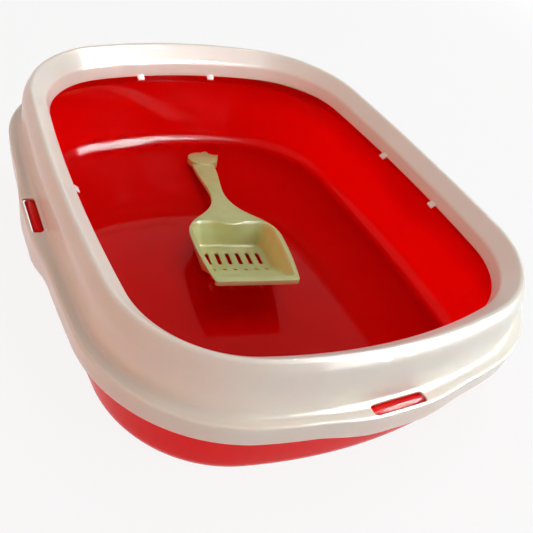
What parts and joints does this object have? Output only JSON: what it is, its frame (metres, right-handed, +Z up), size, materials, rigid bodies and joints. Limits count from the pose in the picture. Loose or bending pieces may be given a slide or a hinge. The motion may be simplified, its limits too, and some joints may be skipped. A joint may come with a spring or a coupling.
{
  "type": "litter tray",
  "caption": "Open rectangular litter tray with a bowed, round-cornered pan, a hollow splash guard that snaps over its flange, and a slotted scoop lying inside.",
  "frame": {"origin": "on the floor, under the middle of the pan's bounding box", "axes": "+Z up, +Y along the tray's length towards its back, where the guard's crest is tallest, and +X to the right seen from the front"},
  "size_m": [0.412, 0.5072, 0.1298],
  "materials": {
    "red_plastic": "glossy moulded red plastic",
    "milky_plastic": "satin milky white plastic, slightly translucent",
    "cream_plastic": "satin pale yellow-green plastic, slightly translucent"
  },
  "bodies": {
    "pan": {"base_pan": "red_plastic"},
    "guard": {"splash_guard": "milky_plastic"},
    "scoop": {"litter_scoop": "cream_plastic"}
  },
  "joints": [
    {"name": "guard_lift", "type": "slide", "parent": "pan", "child": "guard", "axis": [0, 0, 1], "range_m": [0, 0.08]},
    {"name": "scoop_lift", "type": "slide", "parent": "pan", "child": "scoop", "axis": [0, 0, 1], "range_m": [0, 0.22]}
  ]
}
